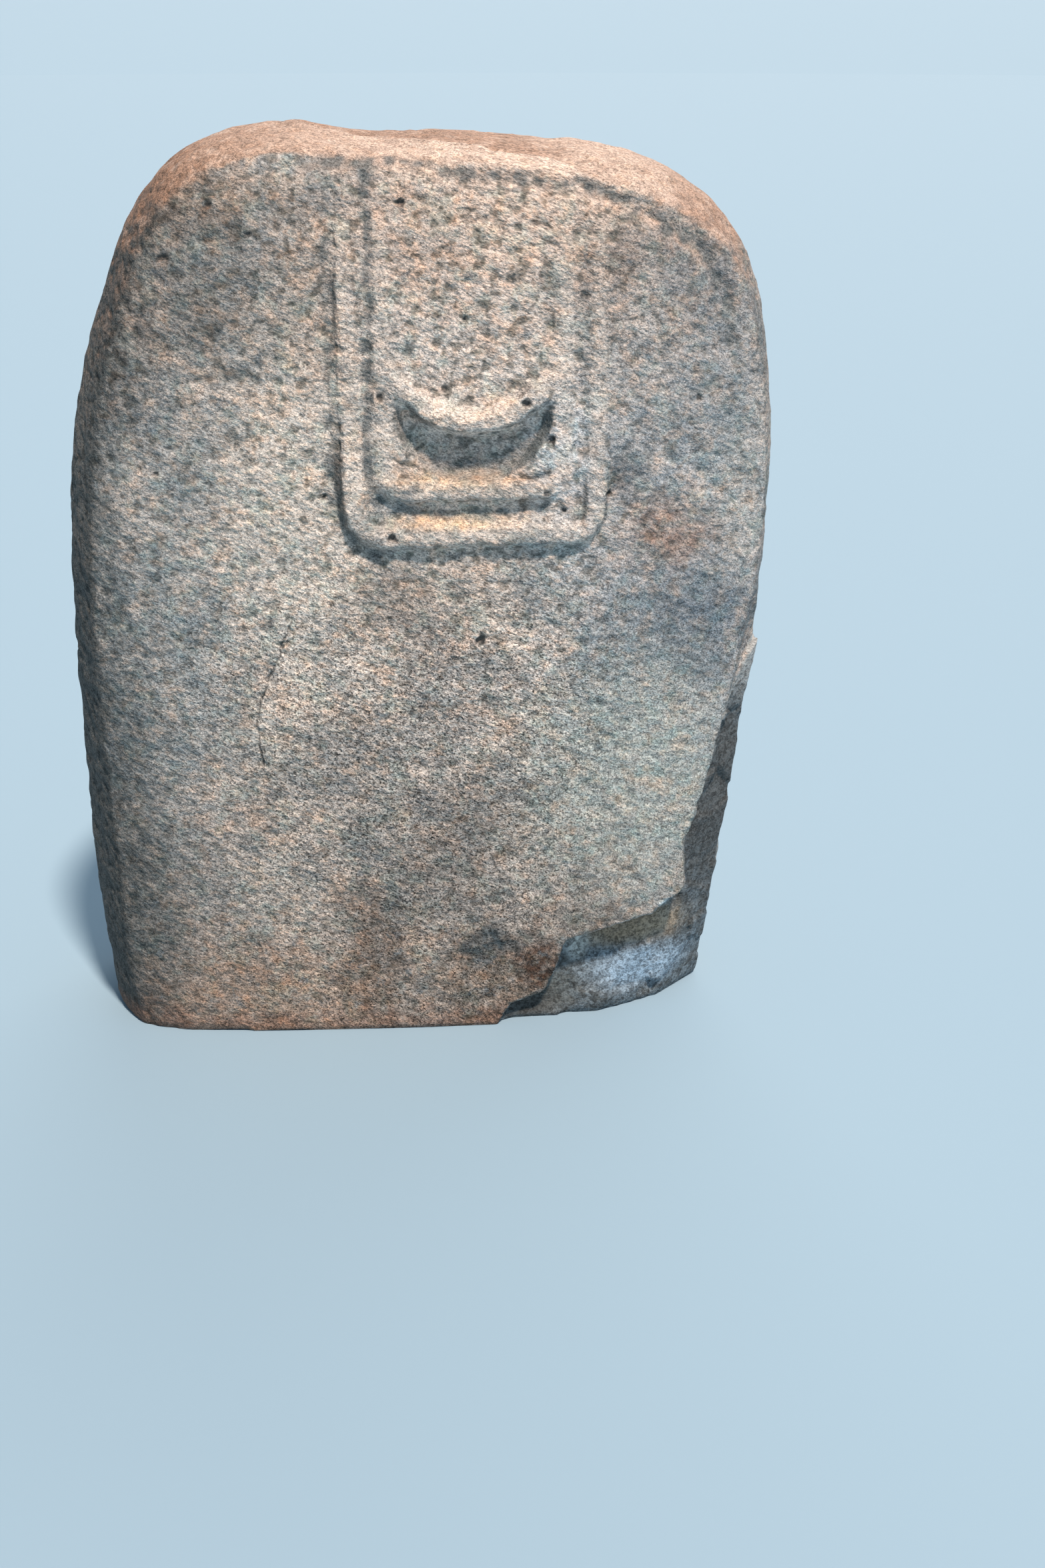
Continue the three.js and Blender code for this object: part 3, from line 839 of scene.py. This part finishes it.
# Noise of the materials: its mean, and scale per metre, detail and roughness of each kind
NOISE_MEAN = 0.5
NOISES = {
    "coarse": {"scale": 11.0, "detail": 5.0, "roughness": 0.62, "distortion": 0.3},
    "blotches": {"scale": 34.0, "detail": 4.0, "roughness": 0.6},
    "hues": {"scale": 42.0, "detail": 4.0, "roughness": 0.65},
    "clusters": {"scale": 24.0, "detail": 5.0, "roughness": 0.65},
    "flecks": {"scale": 260.0, "detail": 2.0, "roughness": 0.6},
    "swirl": {"scale": 16.0, "detail": 4.0, "roughness": 0.6},
    "patchy": {"scale": 70.0},
    "break": {"scale": 60.0, "detail": 5.0, "roughness": 0.7},
}

# Granite of each face: crystal size, mica and its share, roughness from dark to light, gloss and bump
GRANITES = {
    "skin": {"crystal": 1.1 * MM, "mica": 0.72, "speck": 0.6, "roughness": (0.98, 0.84), "gloss": 0.25,
             "bump": (0.9, 4 * MM)},
    "break": {"crystal": 2.8 * MM, "mica": 0.5, "speck": 0.5, "roughness": (0.9, 0.62), "gloss": 0.35,
              "bump": (0.7, 2 * MM)},
    "foot": {"crystal": 3.2 * MM, "mica": 0.7, "speck": 0.8, "roughness": (0.9, 0.75), "gloss": 0.5,
             "bump": (0.3, 1 * MM)},
}

# Plain colours
COOL_GREY = (0.25, 0.27, 0.275)
LICHEN_SPOT = (0.12, 0.145, 0.16)
# Dark slate that is partly painted shade of the unlit left flank; the right flank gets a weaker share of it
FLANK_SLATE_AND_SHADE = (0.07, 0.074, 0.072)
HEAD_PALE = (0.57, 0.445, 0.37)
MICA = (0.055, 0.06, 0.065)
CRACK_BLACK = (0.035, 0.035, 0.034)
FLECK_DARK = (0.085, 0.085, 0.088)
WORN_CREAM = (0.66, 0.58, 0.51)
BREAK_DARK = (0.06, 0.068, 0.07)
RIM_PALE = (0.42, 0.44, 0.43)
FOOT_GREY = (0.22, 0.21, 0.19)
FOOT_PALE = (0.48, 0.44, 0.38)

# Tones that colours are multiplied by: dents, darkened with painted shade and some grime, the ridges between
# them, warmed as a painted highlight, and dark and light crystals
DENT_SHADE_AND_GRIME = (0.33, 0.352, 0.347)
RIDGE_HIGHLIGHT = (1.07, 1.0, 0.94)
DARK_CRYSTAL = {"skin": (0.44, 0.44, 0.44), "granular": (0.07, 0.07, 0.07), "break": (0.35, 0.35, 0.35)}
LIGHT_CRYSTAL = {"skin": (1.48, 1.47, 1.46), "granular": (1.95, 1.94, 1.93), "break": (1.65, 1.65, 1.65)}
BREAK_CRYSTAL_SHARE = 0.9

# Tints, among them painted shade on the left flank and painted shade with grime in grooves and the hollow:
# colour, span of the noise or measure over which the tint sets in, and strength
SKIN_TINTS_AND_SHADE = {
    "cream": ((0.62, 0.54, 0.475), (0.36, 0.62), 1.0),
    "beige": ((0.42, 0.37, 0.325), (0.35, 0.65), 0.5),
    "lichen_blotch": (LICHEN_SPOT, (0.40, 0.32), 0.35),
    "damp": ((0.23, 0.21, 0.19), (0.75, 0.2), 0.55),
    "warm_patch": ((1.14, 0.97, 0.86), (0.48, 0.66), 0.8),
    "teal_patch": ((0.76, 0.90, 0.91), (0.48, 0.66), 0.8),
    "lichen_spot": (LICHEN_SPOT, (0.58, 0.68), 0.6),
    # The flanks are darkened by which way they face: painted shade with some slate on the left, a weaker slate
    # darkening on the right
    "shaded_left_flank": (FLANK_SLATE_AND_SHADE, (-0.2, -0.65), 0.85),
    "right_flank": (FLANK_SLATE_AND_SHADE, (0.5, 0.85), 0.4),
    "soil": ((0.20, 0.11, 0.075), (0.045, 0.005), 0.6),
    # Grime and painted shade of the grooves and the hollow
    "grime_and_shade": ((0.105, 0.122, 0.125), (0.08, 0.65), 0.8),
}
HEAD_TINTS = {
    "brown_behind": ((0.325, 0.212, 0.155), (0.003, -0.003), 1.0),
    "rust_left": ((0.27, 0.155, 0.10), (0.14, -0.36), 1.0),
    "pale_blotch": (HEAD_PALE, (0.5, 0.66), 0.45),
    "dark_blotch": ((0.25, 0.17, 0.13), (0.46, 0.34), 0.45),
}
BREAK_BLUE = ((0.125, 0.155, 0.175), (0.38, 0.6), 1.0)

# How far the edges of tints wander
RAGGED = {"damp": 0.3, "soil": 0.1, "head_coarse": 0.6, "head_blotches": 0.5, "head_side": 0.1, "ledge": 0.02}

# The head's colours: spans of facing up, height and facing back, shares from front to back, and its right end
HEAD_SPAN = {"upward": (0.2, 0.7), "height": (0.8, 1.1), "backward": (0.0, 0.6)}
HEAD_SHARES = (0.9, 0.4)
HEAD_RIGHT = {"inner": (0.12, 0.22), "outer": (0.37, 0.27), "strength": 0.65}

# Peck marks: how far crystals crumble their edges, span of their depth, and share of the finest ones
PECK_CRUMBLE = 1.1
PECK_DEPTH_SPAN = (0.2, 0.8)
FINE_PECKS = 0.7

# Where the peck marks' painted shade shows less: span of the measure over which this sets in, and shares kept
# at its ends
DENT_KEPT = {
    "right": ((0.18, 0.34), (0.9, 0.55)),
    "left": ((-0.08, -0.25), (1.0, 0.78)),
    "height": ((0.45, 0.8), (0.68, 1.0)),
    "upward": ((0.35, 0.6), (1.0, 0.35)),
    "backward": ((-0.6, 0.1), (1.0, 0.4)),
    "worn": ((0.0, 1.0), (1.0, 0.45)),
}

# Strength of the worn ridges' colour, of the painted warm highlight on the ridges between dents, and of dark
# cracks
WORN_SHARE = 0.35
RIDGE_HIGHLIGHT_SHARE = 0.8
CUT_SHARE = 0.8

# Coarser, more speckled skin low in the middle, and the dark flecks in it
GRANULAR = {"height": (0.75, 0.5), "left": (-0.52, -0.02), "right": (0.12, 0.30), "right_share": 0.35}
FLECKS = {"clusters": (0.50, 0.64), "flecks": (0.46, 0.60), "share": 0.6}

# Stretch of the crystals along the pecking, and where towards the right it ends
GRAIN_STRETCH = 1.35
GRAIN_ROUND = (0.05, 0.30)

# Relief of the skin: dressing marks are smoother at the lower right, and crystals stand out a little
DRESSED_SPAN = (-0.5, 0.0)
DRESSED_SHARES = (1.6, 1.0)
GRAIN_RELIEF = 0.2

# Pale bruised rim of the break: span of distance from the broken edge, its patchiness and strength
BREAK_RIM = {"gap": (0.007, 0.001), "patchy": (0.4, 0.6), "strength": 0.5}


def stained(desk, place, base, stains, middle, thinnest):
    """Lays ragged stains, and the patches of painted shade and light among them, over a base colour; where they
    are patchy they thin out to the share given last.
    """
    y, deep = middle
    swirl = desk.noise(place, **NOISES["swirl"], output="Color")
    swirl = desk.vector("SUBTRACT", swirl, (NOISE_MEAN, NOISE_MEAN, NOISE_MEAN))
    patchy = desk.fade(desk.noise(place, **NOISES["patchy"]), *STAIN_PATCHY, thinnest, 1.0)
    for tint, strength, (x, z), (wide, high), ragged_by in stains.values():
        mask = desk.place_group("stain", {
            "Place": place, "Swirl": swirl, "Patchy": patchy, "Centre": (x, y, z),
            "Reach": (wide, deep, high), "Ragged": ragged_by,
        })["Mask"]
        base = desk.mix(desk.product(mask, strength), base, tint)
    return base


def headed(desk, base, place, facing, coarse, blotches):
    """Lays the head's colours on: a pale ledge in front and a browner top behind it, fainter at the back."""
    side, _, height = desk.split(place)
    _, backward, upward = desk.split(facing)
    upward = desk.ragged(upward, coarse, RAGGED["head_coarse"])
    upward = desk.ragged(upward, blotches, RAGGED["head_blotches"])
    on_head = desk.product(
        desk.fade(upward, *HEAD_SPAN["upward"]),
        desk.fade(height, *HEAD_SPAN["height"]),
        desk.fade(backward, *HEAD_SPAN["backward"], *HEAD_SHARES),
    )
    behind = desk.ragged(desk.attribute("ledge"), coarse, RAGGED["ledge"])
    ragged_side = desk.ragged(side, coarse, RAGGED["head_side"])
    right_end = desk.product(
        desk.fade(ragged_side, *HEAD_RIGHT["inner"], 0.0, HEAD_RIGHT["strength"]),
        desk.fade(side, *HEAD_RIGHT["outer"]),
    )
    tint = desk.tinted(HEAD_PALE, behind, HEAD_TINTS["brown_behind"])
    tint = desk.tinted(tint, ragged_side, HEAD_TINTS["rust_left"])
    tint = desk.mix(right_end, tint, HEAD_PALE)
    tint = desk.tinted(tint, blotches, HEAD_TINTS["pale_blotch"])
    tint = desk.tinted(tint, blotches, HEAD_TINTS["dark_blotch"])
    return desk.mix(on_head, base, tint)


def skin_colour(desk, place, facing):
    """Cream and grey granite with stains and patches, flanks darkened partly with painted shade, a pink head
    and a soiled foot.
    """
    height = desk.split(place)[2]
    outward = desk.split(facing)[0]
    coarse = desk.noise(place, **NOISES["coarse"])
    blotches = desk.noise(place, **NOISES["blotches"])
    warm, teal, spots = desk.split(desk.noise(place, **NOISES["hues"], output="Color"))
    base = desk.tinted(COOL_GREY, coarse, SKIN_TINTS_AND_SHADE["cream"])
    base = desk.tinted(base, blotches, SKIN_TINTS_AND_SHADE["beige"])
    base = desk.tinted(base, blotches, SKIN_TINTS_AND_SHADE["lichen_blotch"])
    base = desk.tinted(base, desk.ragged(height, coarse, RAGGED["damp"]), SKIN_TINTS_AND_SHADE["damp"])
    base = stained(desk, place, base, SKIN_STAINS_AND_PAINTED_LIGHT, FACE_MIDDLE, THINNEST["skin"])
    base = desk.tinted(base, warm, SKIN_TINTS_AND_SHADE["warm_patch"], "MULTIPLY")
    base = desk.tinted(base, teal, SKIN_TINTS_AND_SHADE["teal_patch"], "MULTIPLY")
    base = desk.tinted(base, spots, SKIN_TINTS_AND_SHADE["lichen_spot"])
    base = stained(desk, place, base, BACK_STAINS, BACK_MIDDLE, THINNEST["skin"])
    # Painted shade on the left flank by which way it faces, and a weaker darkening on the right
    base = desk.tinted(base, outward, SKIN_TINTS_AND_SHADE["shaded_left_flank"])
    base = desk.tinted(base, outward, SKIN_TINTS_AND_SHADE["right_flank"])
    base = headed(desk, base, place, facing, coarse, blotches)
    return desk.tinted(base, desk.ragged(height, blotches, RAGGED["soil"]), SKIN_TINTS_AND_SHADE["soil"])


def dent_share(desk, place, facing, worn, grain, pecks):
    """How dark a peck mark is painted at a place, with painted shade and some grime: the mesh's dents with
    crumbled edges, and finer ones.
    """
    side, _, height = desk.split(place)
    _, backward, upward = desk.split(facing)
    measures = {
        "right": side, "left": side, "height": height, "upward": upward, "backward": backward, "worn": worn,
    }
    crumbled = desk.ragged(desk.attribute("dent"), grain["Height"], PECK_CRUMBLE)
    fine = desk.product(pecks["Dent"], FINE_PECKS)
    dent = desk.math("MAXIMUM", desk.fade(crumbled, *PECK_DEPTH_SPAN), fine)
    for name, (span, shares) in DENT_KEPT.items():
        dent = desk.product(dent, desk.fade(measures[name], *span, *shares))
    return dent


def grain_dashes(desk, place):
    """Places along the pecking, on which crystals are stretched, apart from those towards the right."""
    squeeze = desk.fade(desk.split(place)[0], *GRAIN_ROUND, 1 / GRAIN_STRETCH, 1.0)
    squeeze = desk.put("ShaderNodeCombineXYZ", {"X": squeeze, "Y": 1.0, "Z": 1.0})
    return desk.vector("MULTIPLY", desk.slanted(place, PECK_SLANT), squeeze)


def skin_crystals(desk, base, place, dashes, grain):
    """Lays dark flecks and the crystals' tones on, both stronger where the skin is granular."""
    side, _, height = desk.split(place)
    granular = desk.product(
        desk.fade(height, *GRANULAR["height"]),
        desk.fade(side, *GRANULAR["left"]),
        desk.fade(side, *GRANULAR["right"], 1.0, GRANULAR["right_share"]),
    )
    clusters = desk.fade(desk.noise(place, **NOISES["clusters"]), *FLECKS["clusters"])
    flecks = desk.fade(desk.noise(dashes, **NOISES["flecks"]), *FLECKS["flecks"])
    base = desk.mix(desk.product(clusters, flecks, granular, FLECKS["share"]), base, FLECK_DARK)
    dark = desk.mix(granular, DARK_CRYSTAL["skin"], DARK_CRYSTAL["granular"])
    light = desk.mix(granular, LIGHT_CRYSTAL["skin"], LIGHT_CRYSTAL["granular"])
    return desk.mix(1.0, base, desk.mix(grain["Tone"], dark, light), "MULTIPLY")


def new_material(name):
    material = bpy.data.materials.new(name)
    material.use_nodes = True
    return material, Desk(material.node_tree), material.node_tree.nodes["Principled BSDF"]


def crystals(desk, kind, place):
    granite = GRANITES[kind]
    return desk.place_group("grain", {"Place": place, "Crystal": granite["crystal"], "Mica": granite["mica"]})


def specked(desk, kind, base, grain):
    return desk.mix(desk.product(grain["Speck"], GRANITES[kind]["speck"]), base, MICA)


def finish_granite(desk, shader, kind, base, grain, relief):
    """Gives a shader the granite's colour, roughness, gloss and relief."""
    granite = GRANITES[kind]
    strength, distance = granite["bump"]
    bump = {"Height": relief, "Strength": strength, "Distance": distance}
    desk.tree.links.new(base, shader.inputs["Base Color"])
    desk.tree.links.new(desk.fade(grain["Tone"], 0.0, 1.0, *granite["roughness"]), shader.inputs["Roughness"])
    desk.tree.links.new(desk.put("ShaderNodeBump", bump), shader.inputs["Normal"])
    shader.inputs["Specular IOR Level"].default_value = granite["gloss"]


def weathered_granite():
    """Skin of the stone: stained crystals with worn ridges, pecked dents with painted shade and painted warm
    highlights between them, grime and painted shade in grooves and the hollow, and dark cracks.
    """
    material, desk, shader = new_material("weathered_granite")
    place = desk.object_place()
    side, _, height = desk.split(place)
    facing = desk.put("ShaderNodeNewGeometry", {}, "Normal")
    worn = desk.attribute("worn")
    dashes = grain_dashes(desk, place)
    grain = crystals(desk, "skin", dashes)
    pecks = desk.place_group("pecks", {"Place": place, "Length": PECKS[0], "Slant": PECK_SLANT})
    base = skin_colour(desk, place, facing)
    base = desk.mix(desk.product(worn, WORN_SHARE), base, WORN_CREAM)
    # Painted shade with some grime in the dents, and a painted warm highlight on the ridges between them
    base = desk.mix(dent_share(desk, place, facing, worn, grain, pecks), base, DENT_SHADE_AND_GRIME, "MULTIPLY")
    base = desk.mix(desk.product(pecks["Ridge"], RIDGE_HIGHLIGHT_SHARE), base, RIDGE_HIGHLIGHT, "MULTIPLY")
    # Grime and painted shade in the grooves and the hollow
    base = desk.tinted(base, desk.attribute("grime_and_shade"), SKIN_TINTS_AND_SHADE["grime_and_shade"])
    base = skin_crystals(desk, base, place, dashes, grain)
    base = specked(desk, "skin", base, grain)
    base = desk.mix(desk.product(desk.attribute("cut"), CUT_SHARE), base, CRACK_BLACK)
    dressed = desk.fade(desk.math("SUBTRACT", side, height), *DRESSED_SPAN, *DRESSED_SHARES)
    relief = desk.product(pecks["Height"], dressed)
    relief = desk.math("ADD", relief, desk.product(grain["Height"], GRAIN_RELIEF))
    finish_granite(desk, shader, "skin", base, grain, relief)
    return material


def broken_granite():
    """The spalled corner: blue-grey crystals, an olive upper part, a dark side and pale bruised edges."""
    material, desk, shader = new_material("broken_granite")
    place = desk.object_place()
    grain = crystals(desk, "break", place)
    coarse = desk.noise(place, **NOISES["break"])
    base = desk.tinted(BREAK_DARK, coarse, BREAK_BLUE)
    base = stained(desk, place, base, BREAK_STAINS_AND_PAINTED_LIGHT, BREAK_MIDDLE, THINNEST["break"])
    tone = desk.mix(grain["Tone"], DARK_CRYSTAL["break"], LIGHT_CRYSTAL["break"])
    base = desk.mix(BREAK_CRYSTAL_SHARE, base, tone, "MULTIPLY")
    base = specked(desk, "break", base, grain)
    rim = desk.product(
        desk.fade(desk.attribute("edge_gap"), *BREAK_RIM["gap"], 0.0, BREAK_RIM["strength"]),
        desk.fade(coarse, *BREAK_RIM["patchy"]),
    )
    base = desk.mix(rim, base, RIM_PALE)
    finish_granite(desk, shader, "break", base, grain, grain["Height"])
    return material


def foot_cut():
    """The flat cut that the stone stands on."""
    material, desk, shader = new_material("foot_cut")
    grain = crystals(desk, "foot", desk.object_place())
    base = specked(desk, "foot", desk.mix(grain["Tone"], FOOT_GREY, FOOT_PALE), grain)
    finish_granite(desk, shader, "foot", base, grain, grain["Height"])
    return material


def finish_faces(mesh):
    """Gives the skin, the break and the foot their materials, and shades them smooth."""
    mesh.materials.clear()
    for make in (weathered_granite, broken_granite, foot_cut):
        mesh.materials.append(make())
    on_break = mesh.materials.find("broken_granite")
    on_foot = mesh.materials.find("foot_cut")
    broken = np.empty(len(mesh.vertices), np.float32)
    mesh.attributes["broken"].data.foreach_get("value", broken)
    for face in mesh.polygons:
        face.use_smooth = True
        if broken[list(face.vertices)].mean() > BREAK_SHARE:
            face.material_index = on_break
        elif face.normal.z < FOOT_FACING and face.center.z < FOOT_LEVEL:
            face.material_index = on_foot


def make_stone():
    mesh = stone_mesh(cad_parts["stone"])
    finish_faces(mesh)
    stone = bpy.data.objects.new("carved_stone", mesh)
    bpy.context.scene.collection.objects.link(stone)
    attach(stone, "root")
    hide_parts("stone")


def make_floor():
    """A pale floor that rises slowly far off, so that it fills the picture."""
    dish = bmesh.new()
    bmesh.ops.create_cone(
        dish, cap_ends=True, segments=FLOOR["sides"],
        radius1=FLOOR["radius"], radius2=FLOOR["rim_radius"], depth=FLOOR["rim_height"],
    )
    lid = max(dish.faces, key=lambda face: face.calc_center_median().z)
    bmesh.ops.delete(dish, geom=[lid], context="FACES_ONLY")
    mesh = bpy.data.meshes.new("floor")
    dish.to_mesh(mesh)
    dish.free()
    floor = bpy.data.objects.new("floor", mesh)
    floor.location.z = FLOOR["rim_height"] / 2 - FLOOR["below"]
    bpy.context.scene.collection.objects.link(floor)
    material, _, shader = new_material("pale_floor")
    shader.inputs["Base Color"].default_value = colour(FLOOR_COLOUR)
    shader.inputs["Roughness"].default_value = FLOOR_ROUGHNESS
    mesh.materials.append(material)


def make_sun(name, light):
    sun = bpy.data.lights.new(name, "SUN")
    sun.energy = light["strength"]
    sun.color = light["colour"]
    sun.angle = math.radians(light["spread_deg"])
    lamp = bpy.data.objects.new(name, sun)
    lamp.rotation_euler = (-Vector(light["from"])).to_track_quat("-Z", "Y").to_euler()
    bpy.context.scene.collection.objects.link(lamp)


def make_sky():
    """A sky for fill light, dimmer on the left, in front of which a pale backdrop shows."""
    world = bpy.data.worlds.new("soft_sky")
    bpy.context.scene.world = world
    world.use_nodes = True
    nodes = world.node_tree.nodes
    desk = Desk(world.node_tree)
    sideways = desk.split(desk.put("ShaderNodeTexCoord", {}, "Generated"))[0]
    left_strength = SKY["strength"] * SKY["left_share"]
    strength = desk.fade(sideways, *SKY["span"], left_strength, SKY["strength"])
    sky = nodes["Background"]
    desk.feed(sky, {"Color": colour(SKY["colour"]), "Strength": strength})
    backdrop = desk.put("ShaderNodeBackground", {"Color": colour(BACKDROP_COLOUR)})
    seen = desk.put("ShaderNodeLightPath", {}, "Is Camera Ray")
    both = desk.put("ShaderNodeMixShader", {0: seen, 1: sky.outputs[0], 2: backdrop})
    desk.feed(nodes["World Output"], {"Surface": both})


def make_camera():
    lens = bpy.data.cameras.new("camera")
    lens.lens = CAMERA["lens"]
    camera = bpy.data.objects.new("camera", lens)
    camera.location = CAMERA["at"]
    camera.rotation_euler = (math.radians(90 - CAMERA["down_deg"]), 0, math.radians(CAMERA["turn_deg"]))
    bpy.context.scene.collection.objects.link(camera)
    bpy.context.scene.camera = camera


make_camera()
make_stone()
make_floor()
make_sun("key", KEY)
make_sun("back", BACK_LIGHT)
make_sky()
bpy.context.scene.view_settings.view_transform = "Standard"
